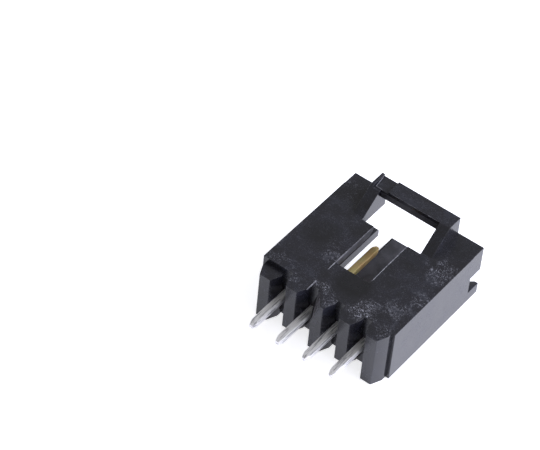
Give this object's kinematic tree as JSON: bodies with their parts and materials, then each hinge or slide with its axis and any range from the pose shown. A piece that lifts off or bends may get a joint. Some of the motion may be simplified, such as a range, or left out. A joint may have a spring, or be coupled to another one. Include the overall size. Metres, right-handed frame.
{
  "type": "pin header",
  "caption": "Straight single-row shrouded pin header with a latch bridge, keyed back wall, end notches and through-hole solder tails on standoffs.",
  "frame": {"origin": "under the middle of the whole part, on the slotted face that it lies on", "axes": "+X along the contact row, +Y the mating direction out of the mouth with the solder tails towards -Y, +Z out of the latch face"},
  "size_m": [0.0126, 0.0166, 0.0068],
  "materials": {
    "housing": "black moulded glass-filled thermoplastic, satin",
    "contact": "drawn square pin, tin plated tail and gold plated mating end"
  },
  "bodies": {
    "root": {"housing": "housing", "contact_pin_1": "contact", "contact_pin_2": "contact", "contact_pin_3": "contact", "contact_pin_4": "contact"}
  },
  "joints": []
}
